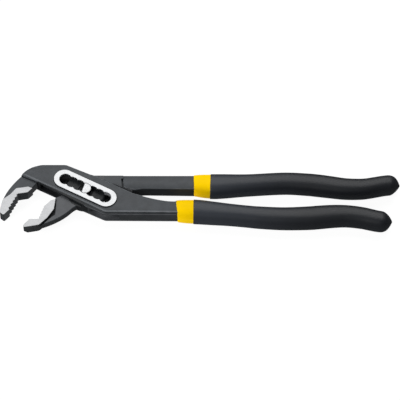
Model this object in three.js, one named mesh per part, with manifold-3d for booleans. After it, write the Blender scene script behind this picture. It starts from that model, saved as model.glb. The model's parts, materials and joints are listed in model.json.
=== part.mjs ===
// Water pump pliers with a box joint. The web of the through lever runs between the two cheeks of the
// slotted lever and turns on a flatted pin, which sits in one of the notches of the slot.
// Millimetres. While it is drawn, the pin is the origin, X runs to the handles and Z is the thickness.
import * as THREE from "three";
import { mergeVertices } from "three/addons/utils/BufferGeometryUtils.js";
import Module from "manifold-3d";

const wasm = await Module();
wasm.setup();

// Joint
const SLOT_TILT = THREE.MathUtils.degToRad(28.5); // fall of the slot towards the handles
const NOTCH_COUNT = 7;
const NOTCH_PITCH = 4.75;
const PIN_RADIUS = 3.6;
const PIN_FLAT = 1.3; // from the pin's axis to its flat
const PIN_TURN = THREE.MathUtils.degToRad(12); // from square across the slot to the flat
const PIN_COLLAR = 1; // how far the pin's middle stands out, so the cheeks hold it
const PIN_FIT = 0.25; // pin to notch and pin to bore
const RIM_WIDTH = 2.9;
const RIM_HEIGHT = 0.8;
const RIM_END = 0.8; // how much wider the rim is at its two ends
const CHEEK_THICKNESS = 2.6;
const WEB_THICKNESS = 4.8;
const SIDE_FIT = 0.3; // web to each cheek
const WEB_FRONT = 13; // reach of the web round the pin, towards the jaws
const WEB_BACK = 12.6; // and towards the handles
const CHEEK_TOP = 11.6; // from the slot's line to the edge that stops the upper handle
const CHEEK_EDGE_START = 6; // where that edge starts at the head's crown, along the slot
const CROTCH_START = 27.3; // where that edge bends away to the lower handle, along the slot
const CHANNEL_WIDTH = 120; // more than the head is high, so the channel is open on both sides
const STOP_FIT = 0.35; // lever to lever, at the stop and between the closed jaws

// Jaws
const JAW_THICKNESS = 7.2;
const JAW_STEP = 0.4; // the jaw's back lies this much below its ground face
const TOOTH_DEPTH = 0.8;
const UPPER_TEETH = 6;
const LOWER_TEETH = 5;

// Handles. Heights are over the pin, fronts are where the grips' collars start.
const HEAD_TOP = 18.5;
const WEB_TOP = 11.5;
const SHOULDER_THICKNESS = 8.4;
const SHOULDER_TOP = 10.7;
const SHOULDER_FRONT = 12; // meets the cheeks' edge when the handles are fully open
const UPPER_THICKNESS = 8.5;
const UPPER_TOP = 10.2;
const UPPER_BOTTOM = 0.5; // at the grip
const UPPER_WAIST = 36.5; // the upper handle is straight from here to its grip
const UPPER_RISE = 0.2; // and its edges rise by this much towards the joint
const UPPER_FRONT = 67.3;
const LOWER_TOP = -8.8; // at the grip
const LOWER_BOTTOM = -18.3;
const LOWER_FRONT = 57;
const HEAD_BEVEL = 1.3;
const HANDLE_BEVEL = 0.5;
const FINE_BEVEL = 0.3;

// Grips
const GRIP_THICKNESS = 13.2;
const GRIP_SQUARENESS = 2.6; // exponent of the section: 2 is an ellipse, more is squarer
const OVERCOAT_WALL = 1.2;
const UNDERCOAT_WALL = 1;
const COAT_FIT = 0.3;
const COLLAR_LENGTH = 11;
const COLLAR_FLARE = 0.4; // how much narrower the collar is at its front
const COLLAR_LIFT = 0.25; // how far the upper collar lies above its handle's middle
const COAT_EDGE = 0.5; // rounding of the overcoat's front edge
const LOWER_REACH = 191.8; // ends of the grips, from the pin
const UPPER_REACH = 197.7;
const TIP_SOLID = 12; // solid length of overcoat at the handle's end
const TIP_LENGTH = 9.5; // length over which the end closes to a blunt point
const TIP_ROUND = 2.4; // exponents of that end: more is rounder at its shoulder
const TIP_POINT = 1.2; // and more is sharper at its point
const TIP_BLUNT = 0.97; // share of that length that is kept

// Sizes that follow from those above
const HALF_TRAVEL = (NOTCH_PITCH * (NOTCH_COUNT - 1)) / 2;
const CHANNEL_HALF = WEB_THICKNESS / 2 + SIDE_FIT;
const HEAD_THICKNESS = 2 * (CHANNEL_HALF + CHEEK_THICKNESS);
const RIM_THICKNESS = HEAD_THICKNESS + 2 * RIM_HEIGHT;
const NOTCH_RADIUS = PIN_RADIUS + PIN_FIT;
const COLLAR_RADIUS = PIN_RADIUS + PIN_COLLAR;

// A point of the drawing given along the slot and across it.
function slotPoint(along, across) {
  return new THREE.Vector2(along, across).rotateAround(new THREE.Vector2(), -SLOT_TILT);
}

// A corner of the drawing.
function corner(x, y) {
  return new THREE.Vector2(x, y);
}

// A flat plate lying about the middle plane, with an even bevel round both faces.
function plate(outline, thickness, bevel) {
  const geometry = new THREE.ExtrudeGeometry(outline, {
    depth: thickness - 2 * bevel,
    curveSegments: 10,
    bevelEnabled: bevel > 0,
    bevelThickness: bevel,
    bevelSize: bevel,
    bevelOffset: -bevel,
    bevelSegments: 1,
  });
  return geometry.translate(0, 0, bevel - thickness / 2);
}

function solid(geometry) {
  const bare = geometry.clone();
  bare.deleteAttribute("normal");
  bare.deleteAttribute("uv");
  const merged = mergeVertices(bare, 1e-4);
  const vertProperties = new Float32Array(merged.attributes.position.array);
  const triVerts = new Uint32Array(merged.index.array);
  return new wasm.Manifold(new wasm.Mesh({ numProp: 3, vertProperties, triVerts }));
}

function joined(geometries) {
  return geometries.map(solid).reduce((whole, piece) => whole.add(piece));
}

function mesh(name, body, material) {
  const { vertProperties, triVerts } = body.getMesh();
  const geometry = new THREE.BufferGeometry();
  geometry.setAttribute("position", new THREE.BufferAttribute(vertProperties, 3));
  geometry.setIndex(new THREE.BufferAttribute(triVerts, 1));
  geometry.computeVertexNormals();
  const made = new THREE.Mesh(geometry, material);
  made.name = name;
  return made;
}

// The notched slot: a row of notch circles that run into each other.
function slotOutline() {
  const outline = new THREE.Path();
  const crest = Math.acos(NOTCH_PITCH / 2 / NOTCH_RADIUS);
  const last = NOTCH_COUNT - 1;
  const centre = (notch) => notch * NOTCH_PITCH - HALF_TRAVEL;
  outline.absarc(centre(last), 0, NOTCH_RADIUS, crest - Math.PI, Math.PI - crest);
  for (let notch = last - 1; notch > 0; notch -= 1) {
    outline.absarc(centre(notch), 0, NOTCH_RADIUS, crest, Math.PI - crest);
  }
  outline.absarc(centre(0), 0, NOTCH_RADIUS, crest, 2 * Math.PI - crest);
  for (let notch = 1; notch < last; notch += 1) {
    outline.absarc(centre(notch), 0, NOTCH_RADIUS, Math.PI + crest, 2 * Math.PI - crest);
  }
  return new THREE.Shape(outline.getPoints(8));
}

function rimOutline() {
  const outline = new THREE.Shape();
  const radius = NOTCH_RADIUS + RIM_WIDTH;
  const half = HALF_TRAVEL + RIM_END;
  outline.absarc(half, 0, radius, -Math.PI / 2, Math.PI / 2);
  outline.absarc(-half, 0, radius, Math.PI / 2, (3 * Math.PI) / 2);
  return outline;
}

// Saw teeth along a straight gripping edge, each with one steep flank; they lie behind the edge.
function toothedEdge(from, to, count) {
  const step = to.clone().sub(from).divideScalar(count);
  const inward = corner(step.y, -step.x).normalize().multiplyScalar(TOOTH_DEPTH);
  const points = [];
  for (let tooth = 0; tooth < count; tooth += 1) {
    const crest = from.clone().addScaledVector(step, tooth);
    points.push(crest);
    points.push(crest.clone().addScaledVector(step, 0.8).add(inward));
  }
  points.push(to);
  return points;
}

// Where the closed jaws meet: two ends of the upper jaw's flat tip.
const TIP_INNER = corner(-47.1, -14.4);
const TIP_OUTER = corner(-50.5, -18.3);
const UPPER_HOLLOW = corner(-43, -2.7); // inner corner of the upper jaw
const LOWER_HOLLOW = corner(-28.4, -21.3); // inner corner of the lower jaw
const HEAD_STEP_BACK = corner(-40.6, 10.4); // ends of the step between head and upper jaw
const HEAD_STEP_FRONT = corner(-30.2, 6.2);
const HEAD_BELLY = corner(-2, -10.75); // the head's lower edge bends a little here
const HEAD_HEEL = corner(12.4, -18.05); // and turns into the lower handle here

// The slotted lever's upper edge between the head and the lower grip, and the upper handle's underside, which
// is the front part of that edge moved back by half the travel, so the two meet in the jaws' last notch.
const CROTCH = new THREE.QuadraticBezierCurve(
  slotPoint(CROTCH_START, CHEEK_TOP),
  corner(49, -9.9),
  corner(LOWER_FRONT, LOWER_TOP),
).getPoints(10);
const UNDERSIDE = CROTCH.slice(0, 5).map((point) => point.clone().add(slotPoint(-HALF_TRAVEL, STOP_FIT)));

// The slotted head with the lower handle up to its grip.
function headOutline() {
  const outline = new THREE.Shape();
  const edgeStart = slotPoint(CHEEK_EDGE_START, CHEEK_TOP);
  outline.moveTo(HEAD_STEP_BACK.x, HEAD_STEP_BACK.y);
  outline.lineTo(HEAD_STEP_FRONT.x, HEAD_STEP_FRONT.y);
  outline.lineTo(HEAD_BELLY.x, HEAD_BELLY.y);
  outline.lineTo(HEAD_HEEL.x, HEAD_HEEL.y);
  outline.lineTo(LOWER_FRONT, LOWER_BOTTOM);
  for (const point of CROTCH.toReversed()) {
    outline.lineTo(point.x, point.y);
  }
  outline.lineTo(edgeStart.x, edgeStart.y);
  outline.lineTo(-12.5, HEAD_TOP);
  outline.lineTo(-27.7, HEAD_TOP);
  outline.quadraticCurveTo(-36.6, HEAD_TOP - 1.5, HEAD_STEP_BACK.x, HEAD_STEP_BACK.y);
  return outline;
}

// The forged back of the upper jaw; its inner side lies inside the head and the ground face.
function upperJawBack() {
  const outline = new THREE.Shape();
  outline.moveTo(-34, 13);
  outline.lineTo(-41, 10.2);
  outline.quadraticCurveTo(-49, 1.4, -51.5, -7.2);
  outline.lineTo(-49.5, -11);
  outline.lineTo(-44.5, -1.2);
  outline.lineTo(-36, -0.8);
  outline.lineTo(HEAD_STEP_FRONT.x, HEAD_STEP_FRONT.y);
  return outline;
}

function upperJawFace() {
  const teeth = toothedEdge(TIP_INNER, UPPER_HOLLOW, UPPER_TEETH);
  return new THREE.Shape([
    ...teeth,
    corner(-36, -1.5),
    corner(-33.2, 1.6),
    corner(-35.8, 2.7),
    corner(-43.5, 1.5),
    corner(-46.5, -2.6),
    corner(-51.5, -6.9),
    corner(-53.3, -16),
    TIP_OUTER,
  ]);
}

function slottedLever() {
  const rim = plate(rimOutline(), RIM_THICKNESS, FINE_BEVEL).rotateZ(-SLOT_TILT);
  const jawBack = plate(upperJawBack(), JAW_THICKNESS - 2 * JAW_STEP, FINE_BEVEL);
  const jawFace = plate(upperJawFace(), JAW_THICKNESS, 0);
  const head = plate(headOutline(), HEAD_THICKNESS, HEAD_BEVEL);
  const front = -(WEB_FRONT + HALF_TRAVEL + STOP_FIT);
  const back = WEB_BACK + HALF_TRAVEL + STOP_FIT;
  const channel = new THREE.BoxGeometry(back - front, CHANNEL_WIDTH, 2 * CHANNEL_HALF);
  channel.translate((back + front) / 2, 0, 0).rotateZ(-SLOT_TILT);
  const slot = plate(slotOutline(), 2 * RIM_THICKNESS, 0).rotateZ(-SLOT_TILT);
  const lever = joined([head, rim, jawBack, jawFace, tang(LOWER_GRIP)]);
  return lever.subtract(solid(channel)).subtract(solid(slot));
}

// The thin part of the through lever: the start of its handle, its hub and the neck of the lower jaw.
function webOutline() {
  const outline = new THREE.Shape();
  const stopStart = slotPoint(WEB_BACK, CHEEK_TOP + STOP_FIT);
  const inside = UNDERSIDE[2];
  outline.moveTo(inside.x, UPPER_TOP - HANDLE_BEVEL);
  outline.lineTo(SHOULDER_FRONT, WEB_TOP);
  outline.absarc(0, 0, WEB_FRONT, Math.asin(WEB_TOP / WEB_FRONT), 1.05 * Math.PI);
  outline.lineTo(-19.5, -7.5);
  outline.lineTo(-20.5, -12.5);
  outline.lineTo(-30.5, -23.5);
  outline.lineTo(-31.5, -26.6);
  outline.quadraticCurveTo(-16, -21.9, -8.7, -12.9);
  outline.quadraticCurveTo(-6.6, -11.1, -3.4, -10.2);
  outline.absarc(0, 0, WEB_BACK, -0.44 * Math.PI, 0);
  outline.lineTo(stopStart.x, stopStart.y);
  outline.lineTo(UNDERSIDE[0].x, UNDERSIDE[0].y);
  outline.lineTo(inside.x, inside.y);
  return outline;
}

// The step between the web and the upper handle.
function shoulderOutline() {
  const stopHeight = (CHEEK_TOP + STOP_FIT) / Math.cos(SLOT_TILT) - SHOULDER_FRONT * Math.tan(SLOT_TILT);
  return new THREE.Shape([
    corner(SHOULDER_FRONT, stopHeight),
    ...UNDERSIDE.slice(0, 4),
    corner(UNDERSIDE[3].x, UPPER_TOP - HANDLE_BEVEL),
    corner(UNDERSIDE[2].x, SHOULDER_TOP),
    corner(SHOULDER_FRONT, SHOULDER_TOP),
  ]);
}

function upperHandleOutline() {
  const underside = UNDERSIDE.slice(2);
  return new THREE.Shape([
    corner(underside[0].x, UPPER_TOP + UPPER_RISE),
    ...underside,
    corner(UPPER_WAIST, UPPER_BOTTOM + UPPER_RISE),
    corner(UPPER_FRONT, UPPER_BOTTOM),
    corner(UPPER_FRONT, UPPER_TOP),
  ]);
}

// The lower jaw's ground face. Its tip is the upper jaw's, moved by the travel to the jaws' last notch.
function lowerJawFace() {
  const shut = slotPoint(HALF_TRAVEL + STOP_FIT, 0);
  const teeth = toothedEdge(corner(-24.9, -11.4), LOWER_HOLLOW, LOWER_TEETH);
  return new THREE.Shape([
    corner(-19.3, -13.9),
    corner(-18.5, -6.7),
    corner(-21.4, -7.6),
    ...teeth,
    TIP_INNER.clone().add(shut),
    TIP_OUTER.clone().add(shut),
    corner(-37.9, -27.4),
    corner(-33.3, -26.6),
    corner(-28.2, -25.6),
    corner(-23.2, -20.3),
  ]);
}

function throughLever() {
  const web = plate(webOutline(), WEB_THICKNESS, FINE_BEVEL);
  const shoulder = plate(shoulderOutline(), SHOULDER_THICKNESS, FINE_BEVEL);
  const handle = plate(upperHandleOutline(), UPPER_THICKNESS, HANDLE_BEVEL);
  const jawFace = plate(lowerJawFace(), JAW_THICKNESS, 0);
  const bore = new THREE.CylinderGeometry(COLLAR_RADIUS + PIN_FIT, COLLAR_RADIUS + PIN_FIT, HEAD_THICKNESS, 40);
  bore.rotateX(Math.PI / 2);
  return joined([web, shoulder, handle, jawFace, tang(UPPER_GRIP)]).subtract(solid(bore));
}

function pivotPin() {
  const outline = new THREE.Shape();
  const flat = Math.PI - Math.acos(PIN_FLAT / PIN_RADIUS);
  outline.absarc(0, 0, PIN_RADIUS, -flat, flat);
  const shank = plate(outline, RIM_THICKNESS, FINE_BEVEL).rotateZ(PIN_TURN - SLOT_TILT);
  const collar = new THREE.CylinderGeometry(COLLAR_RADIUS, COLLAR_RADIUS, WEB_THICKNESS, 40);
  collar.rotateX(Math.PI / 2);
  return joined([shank, collar]);
}

// A grip's middle line from its collar to its end. A station gives its share of the way, its height over the
// pin and half the grip's width there.
function grip(front, reach, stations) {
  const points = stations.map(
    ([share, height, halfWidth]) => new THREE.Vector3(front + (reach - front) * share, height, halfWidth),
  );
  const curve = new THREE.CatmullRomCurve3(points);
  return { curve, length: curve.getLength() };
}

const LOWER_GRIP = grip(LOWER_FRONT, LOWER_REACH, [
  [0, (LOWER_TOP + LOWER_BOTTOM) / 2, 7.3],
  [0.1, -14.05, 7.45],
  [0.17, -15.05, 7.05],
  [0.25, -16.22, 6.52],
  [0.33, -17.45, 6.4],
  [0.39, -18.28, 6.56],
  [0.5, -19.07, 6.74],
  [0.61, -18.65, 7.03],
  [0.67, -17.95, 7.03],
  [0.73, -17.3, 6.8],
  [0.79, -17.25, 6.5],
  [0.86, -18.5, 6.3],
  [0.94, -21.1, 6.05],
  [1, -21.5, 5.8],
]);

const UPPER_GRIP = grip(UPPER_FRONT, UPPER_REACH, [
  [0, (UPPER_TOP + UPPER_BOTTOM) / 2 + COLLAR_LIFT, 7],
  [0.09, 4.95, 7.65],
  [0.15, 5.12, 7.45],
  [0.27, 5.85, 6.55],
  [0.44, 7.13, 6.5],
  [0.55, 6.4, 6.6],
  [0.61, 5.5, 6.65],
  [0.67, 4.35, 6.5],
  [0.73, 3.2, 6.25],
  [0.79, 2.9, 6.05],
  [0.84, 3.35, 5.9],
  [0.92, 5.4, 5.75],
  [0.96, 5.85, 5.7],
  [1, 5.25, 5.6],
]);

// One section across a grip, a given distance along it; less is taken off all round.
function section(line, distance, less, count) {
  const at = THREE.MathUtils.clamp(distance / line.length, 0, 1);
  const middle = line.curve.getPointAt(at);
  const run = line.curve.getTangentAt(at).setZ(0).normalize();
  const overrun = Math.min(distance, 0);
  const closing = Math.max(0, (distance - line.length + TIP_LENGTH) / TIP_LENGTH);
  const swell = (1 - closing ** TIP_ROUND) ** TIP_POINT;
  const halfWidth = (middle.z - less) * swell;
  const halfThickness = (GRIP_THICKNESS / 2 - less) * swell;
  const squared = (value) => Math.sign(value) * Math.abs(value) ** (2 / GRIP_SQUARENESS);
  const points = [];
  for (let side = 0; side < count; side += 1) {
    const turn = ((side + 0.5) / count) * 2 * Math.PI;
    const across = halfWidth * squared(Math.cos(turn));
    const up = halfThickness * squared(Math.sin(turn));
    const x = middle.x + run.x * overrun - run.y * across;
    const y = middle.y + run.y * overrun + run.x * across;
    points.push(new THREE.Vector3(x, y, up));
  }
  return points;
}

// A closed skin over a row of sections.
function loft(sections) {
  const count = sections[0].length;
  const last = (sections.length - 1) * count;
  const faces = [];
  for (let row = 0; row < last; row += count) {
    for (let side = 0; side < count; side += 1) {
      const next = (side + 1) % count;
      faces.push(row + side, row + next, row + count + side);
      faces.push(row + next, row + count + next, row + count + side);
    }
  }
  for (let side = 1; side < count - 1; side += 1) {
    faces.push(0, side + 1, side);
    faces.push(last, last + side, last + side + 1);
  }
  const geometry = new THREE.BufferGeometry().setFromPoints(sections.flat());
  return geometry.setIndex(faces);
}

// A bar along a grip from one distance to another, with the grip's section less an even amount.
function bar(line, from, to, less, steps, count) {
  const sections = [];
  for (let step = 0; step <= steps; step += 1) {
    sections.push(section(line, from + ((to - from) * step) / steps, less, count));
  }
  return loft(sections);
}

const UNDERCOAT_LESS = OVERCOAT_WALL + COAT_FIT;
const TANG_LESS = UNDERCOAT_LESS + UNDERCOAT_WALL + COAT_FIT;

// The steel inside a grip.
function tang(line) {
  const end = line.length - TIP_SOLID - 2 * COAT_FIT - UNDERCOAT_WALL;
  return bar(line, -3, end, TANG_LESS, 14, 16);
}

// The first coat: a collar with a round front, then a thin sleeve under the second coat.
function undercoat(line) {
  const end = line.length - TIP_SOLID - COAT_FIT;
  const collar = [];
  for (let step = 0; step <= 5; step += 1) {
    const share = (step / 5) ** 2;
    const flare = COLLAR_FLARE * (1 - share) ** 3;
    collar.push(section(line, COAT_FIT + (COLLAR_LENGTH - COAT_FIT) * share, COAT_FIT + flare, 24));
  }
  const sleeve = bar(line, COLLAR_LENGTH / 2, end, UNDERCOAT_LESS, 14, 24);
  const hollow = bar(line, -1, end - UNDERCOAT_WALL, TANG_LESS - COAT_FIT, 14, 16);
  return joined([loft(collar), sleeve]).subtract(solid(hollow));
}

// The second coat, closed at the handle's end.
function overcoat(line) {
  const start = COLLAR_LENGTH + COAT_FIT;
  const full = start + COAT_EDGE;
  const tip = line.length - TIP_LENGTH;
  const sections = [section(line, start, COAT_EDGE, 24)];
  for (let step = 0; step < 18; step += 1) {
    sections.push(section(line, full + ((tip - full) * step) / 18, 0, 24));
  }
  for (let step = 0; step <= 6; step += 1) {
    sections.push(section(line, tip + TIP_LENGTH * TIP_BLUNT * Math.sin((step / 12) * Math.PI), 0, 24));
  }
  const hollow = bar(line, start - 1, line.length - TIP_SOLID, OVERCOAT_WALL, 14, 16);
  return solid(loft(sections)).subtract(solid(hollow));
}

function forgedSteel() {
  return new THREE.MeshStandardMaterial({ color: 0x4b4d50, roughness: 0.5, metalness: 0.6 });
}

function brightSteel() {
  return new THREE.MeshStandardMaterial({ color: 0xdcdcda, roughness: 0.3, metalness: 0.9 });
}

function yellowCoat() {
  return new THREE.MeshStandardMaterial({ color: 0xffd000, roughness: 0.45, metalness: 0 });
}

function blackCoat() {
  return new THREE.MeshStandardMaterial({ color: 0x2b2c2f, roughness: 0.55, metalness: 0 });
}

const pliers = new THREE.Group();
pliers.add(mesh("slotted_lever", slottedLever(), forgedSteel()));
pliers.add(mesh("through_lever", throughLever(), forgedSteel()));
pliers.add(mesh("pivot_pin", pivotPin(), brightSteel()));
pliers.add(mesh("lower_grip_undercoat", undercoat(LOWER_GRIP), yellowCoat()));
pliers.add(mesh("lower_grip_overcoat", overcoat(LOWER_GRIP), blackCoat()));
pliers.add(mesh("upper_grip_undercoat", undercoat(UPPER_GRIP), yellowCoat()));
pliers.add(mesh("upper_grip_overcoat", overcoat(UPPER_GRIP), blackCoat()));

// The finished part stands on the middle of its lowest plane.
const box = new THREE.Box3().setFromObject(pliers);
const middle = box.getCenter(new THREE.Vector3());
pliers.position.set(-middle.x, -middle.y, -box.min.z);

export default pliers;
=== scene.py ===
"""Water pump pliers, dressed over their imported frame.

Lengths are millimetres from the pivot pin's axis in the middle plane, as on a drawing of the tool:
x runs to the handles, y to the upper handle and z through the thickness. They become metres in the
frame when a piece is made.
"""
import json
import logging
import math
from dataclasses import dataclass, field
from enum import Enum
from typing import Mapping, Optional, Sequence, Union

import bmesh
import bpy
from mathutils import Matrix, Vector

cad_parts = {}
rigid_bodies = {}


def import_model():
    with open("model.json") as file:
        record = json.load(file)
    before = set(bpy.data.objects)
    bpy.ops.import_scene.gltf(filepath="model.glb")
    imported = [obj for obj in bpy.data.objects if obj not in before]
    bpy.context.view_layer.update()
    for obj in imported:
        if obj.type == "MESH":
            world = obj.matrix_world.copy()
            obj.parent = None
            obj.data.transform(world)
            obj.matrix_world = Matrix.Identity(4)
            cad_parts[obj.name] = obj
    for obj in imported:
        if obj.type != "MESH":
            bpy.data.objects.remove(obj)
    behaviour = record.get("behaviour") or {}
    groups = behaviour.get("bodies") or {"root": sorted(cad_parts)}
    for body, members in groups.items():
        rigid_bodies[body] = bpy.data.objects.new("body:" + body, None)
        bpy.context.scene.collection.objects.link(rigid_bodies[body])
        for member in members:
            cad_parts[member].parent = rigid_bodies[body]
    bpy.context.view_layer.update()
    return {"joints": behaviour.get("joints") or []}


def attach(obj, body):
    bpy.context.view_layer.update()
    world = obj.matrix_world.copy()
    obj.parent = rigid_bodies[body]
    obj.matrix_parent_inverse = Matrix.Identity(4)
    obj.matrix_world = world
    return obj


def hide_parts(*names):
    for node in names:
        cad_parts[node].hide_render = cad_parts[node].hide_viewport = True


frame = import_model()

MM = 0.001
LOG = logging.getLogger("pliers")

Outline = list[Vector]
Colour = tuple[float, float, float]
Number = Union[float, "Wire"]


class Body(Enum):
    """The moving bodies of the frame."""

    SLOTTED = "slotted_body"
    PIN = "pin_body"
    THROUGH = "through_body"


class Slot(Enum):
    """The record's material slots."""

    FORGED = "forged_steel"
    BRIGHT = "bright_steel"
    YELLOW = "yellow_coat"
    BLACK = "black_coat"


class Wire:
    """A value on its way between two shader nodes, with Python's arithmetic."""

    def __init__(self, bench: "Bench", socket: bpy.types.NodeSocket) -> None:
        """Wraps one output socket.

        Args:
            bench: The node tree that the socket belongs to.
            socket: The output that the value comes from.
        """
        self.bench = bench
        self.socket = socket

    def math(self, operation: str, *values: Number) -> "Wire":
        """Adds a Math node.

        Args:
            operation: The Math node's operation.
            *values: Its inputs in order.

        Returns:
            The node's result.
        """
        return self.bench.add("Math", {"operation": operation}, dict(enumerate(values)))

    def __add__(self, other: Number) -> "Wire":
        """Sum."""
        return self.math("ADD", self, other)

    __radd__ = __add__

    def __sub__(self, other: Number) -> "Wire":
        """Difference."""
        return self.math("SUBTRACT", self, other)

    def __rsub__(self, other: Number) -> "Wire":
        """Difference from a number."""
        return self.math("SUBTRACT", other, self)

    def __mul__(self, other: Number) -> "Wire":
        """Product."""
        return self.math("MULTIPLY", self, other)

    __rmul__ = __mul__

    def ramp(self, low: float = 0.3, high: float = 0.7) -> "Wire":
        """Turns the value into a smooth step.

        Args:
            low: Where the step starts from 0, by default where a noise does.
            high: Where it reaches 1.

        Returns:
            The step's value.
        """
        settings = {"interpolation_type": "SMOOTHSTEP"}
        return self.bench.add("MapRange", settings, {"Value": self, "From Min": low, "From Max": high})


class Bench:
    """A material's node tree while it is wired up."""

    def __init__(self, name: str) -> None:
        """Starts an empty material.

        Args:
            name: The material's name.
        """
        self.material = bpy.data.materials.new(name)
        self.material.use_nodes = True
        self.tree = self.material.node_tree
        self.tree.nodes.clear()

    def add(
        self,
        kind: str,
        settings: Optional[Mapping[str, object]] = None,
        inputs: Optional[Mapping[Union[str, int], object]] = None,
        output: Union[str, int, None] = 0,
    ) -> Optional[Wire]:
        """Adds one node.

        Args:
            kind: The node's type, without Blender's prefix.
            settings: Its properties, which are set first.
            inputs: A value or a wire for each socket that is set.
            output: The socket to hand on, or None for a node without one.

        Returns:
            The chosen output as a wire.
        """
        node = self.tree.nodes.new("ShaderNode" + kind)
        for key, value in (settings or {}).items():
            setattr(node, key, value)
        for key, value in (inputs or {}).items():
            socket = node.inputs[key]
            if isinstance(value, Wire):
                self.tree.links.new(value.socket, socket)
            else:
                socket.default_value = value
        return None if output is None else Wire(self, node.outputs[output])

    def place(self, stretch: Sequence[float] = (1.0, 1.0, 1.0), turn: float = 0.0) -> Wire:
        """Gives the place on the piece, which moves with it.

        Args:
            stretch: Scale along each axis, after the turn.
            turn: Angle about the tool's thickness.

        Returns:
            The place as a vector.
        """
        here = self.add("TexCoord", output="Object")
        inputs = {"Vector": here, "Rotation": (0.0, 0.0, turn), "Scale": tuple(stretch)}
        return self.add("Mapping", inputs=inputs)

    def noise(self, place: Wire, per_metre: float, detail: float = 2.0, roughness: float = 0.5) -> Wire:
        """Adds a noise texture.

        Args:
            place: Where it is looked up.
            per_metre: Its scale.
            detail: Octaves of finer noise.
            roughness: How strong these are.

        Returns:
            The noise, about 0.5 in the middle.
        """
        inputs = {"Vector": place, "Scale": per_metre, "Detail": detail, "Roughness": roughness}
        return self.add("TexNoise", inputs=inputs)

    def mix(self, share: Number, first: object, second: object) -> Wire:
        """Mixes two colours.

        Args:
            share: 0 for the first, 1 for the second.
            first: A colour or a wire.
            second: A colour or a wire.

        Returns:
            The mixed colour.
        """
        return self.add("Mix", {"data_type": "RGBA"}, {0: share, 6: first, 7: second}, 2)

    def bump(self, height: Wire, depth: float) -> Wire:
        """Turns a height into a normal.

        Args:
            height: From 0 to 1.
            depth: What 1 stands for, in metres.

        Returns:
            The normal.
        """
        return self.add("Bump", inputs={"Height": height, "Distance": depth, "Strength": 1.0})

    def finish(self, **inputs: object) -> bpy.types.Material:
        """Closes the tree with a Principled shader.

        Args:
            **inputs: The shader's inputs, with spaces written as underscores.

        Returns:
            The finished material.
        """
        named = {key.replace("_", " "): value for key, value in inputs.items()}
        shader = self.add("BsdfPrincipled", inputs=named)
        self.add("OutputMaterial", inputs={"Surface": shader}, output=None)
        return self.material


def rgba(colour: Colour, brightness: float = 1.0) -> tuple[float, float, float, float]:
    """Gives a colour as a socket takes it.

    Args:
        colour: Linear red, green and blue.
        brightness: A factor on all three.

    Returns:
        The colour with an alpha of 1.
    """
    return (*(channel * brightness for channel in colour), 1.0)


@dataclass(frozen=True)
class ForgedFinish:
    """Black phosphate on forged steel: a fine matt grain, a little mottled."""

    name: str
    colour: Colour
    mottle: float = 0.25
    roughness: float = 0.55
    roughness_spread: float = 0.16
    specular: float = 0.4
    clouds_per_metre: float = 160.0
    grain_per_metre: float = 2600.0
    grain_share: float = 0.4
    grain_depth: float = 0.00003

    def material(self) -> bpy.types.Material:
        """Makes the material.

        Returns:
            The material.
        """
        bench = Bench(self.name)
        place = bench.place()
        clouds = bench.noise(place, self.clouds_per_metre, detail=4.0, roughness=0.6)
        grain = bench.noise(place, self.grain_per_metre, roughness=0.6)
        tone = clouds.ramp() * (1 - self.grain_share) + grain.ramp() * self.grain_share
        dark = rgba(self.colour, 1.0 - self.mottle)
        light = rgba(self.colour, 1.0 + self.mottle)
        return bench.finish(
            Base_Color=bench.mix(tone, dark, light),
            Roughness=self.roughness - self.roughness_spread / 2 + grain * self.roughness_spread,
            Specular_IOR_Level=self.specular,
            Normal=bench.bump(grain + clouds * 0.5, self.grain_depth),
        )


@dataclass(frozen=True)
class GroundFinish:
    """Steel ground bright, with the fine lines of the wheel along one direction."""

    name: str
    colour: Colour
    line_angle: float
    line_stretch: float = 22.0
    lines_per_metre: float = 260.0
    line_depth: float = 0.00002
    clouds_per_metre: float = 220.0
    clouds_share: float = 0.3
    darkest: float = 0.86
    lightest: float = 1.08
    roughness: float = 0.5
    roughness_spread: float = 0.2
    metallic: float = 0.3

    def material(self) -> bpy.types.Material:
        """Makes the material.

        Returns:
            The material.
        """
        bench = Bench(self.name)
        drawn_out = bench.place((1.0, self.line_stretch, self.line_stretch), self.line_angle)
        lines = bench.noise(drawn_out, self.lines_per_metre, detail=3.0, roughness=0.65)
        clouds = bench.noise(bench.place(), self.clouds_per_metre)
        tone = lines.ramp(0.25, 0.75) * (1 - self.clouds_share) + clouds.ramp() * self.clouds_share
        return bench.finish(
            Base_Color=bench.mix(tone, rgba(self.colour, self.darkest), rgba(self.colour, self.lightest)),
            Roughness=self.roughness - self.roughness_spread / 2 + lines * self.roughness_spread,
            Metallic=self.metallic,
            Normal=bench.bump(lines, self.line_depth),
        )


@dataclass(frozen=True)
class DipFinish:
    """Dipped plastic: satin, with a faint orange peel, and painted lighter towards the collar as painted
    light.
    """

    name: str
    colour: Colour
    specular: float
    # How much lighter the coat is painted at the collar, as painted light, and where along x that ends.
    painted_collar_light: float = 0.0
    painted_collar_light_end: float = 0.075
    mottle: float = 0.06
    clouds_per_metre: float = 60.0
    peel_per_metre: float = 900.0
    peel_depth: float = 0.00004
    roughness: float = 0.5
    roughness_spread: float = 0.1

    def material(self) -> bpy.types.Material:
        """Makes the material.

        Returns:
            The material.
        """
        bench = Bench(self.name)
        place = bench.place()
        clouds = bench.noise(place, self.clouds_per_metre, detail=3.0)
        peel = bench.noise(place, self.peel_per_metre, roughness=0.4)
        tone = 1.0 - self.mottle + clouds.ramp() * (2 * self.mottle)
        along = bench.add("SeparateXYZ", inputs={"Vector": place})
        # Painted light: lighter towards the collar.
        tone = tone + (1.0 - along.ramp(0.0, self.painted_collar_light_end)) * self.painted_collar_light
        return bench.finish(
            Base_Color=bench.add("VectorMath", {"operation": "SCALE"}, {0: self.colour, "Scale": tone}),
            Roughness=self.roughness - self.roughness_spread / 2 + peel * self.roughness_spread,
            Specular_IOR_Level=self.specular,
            Normal=bench.bump(peel, self.peel_depth),
        )


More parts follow.
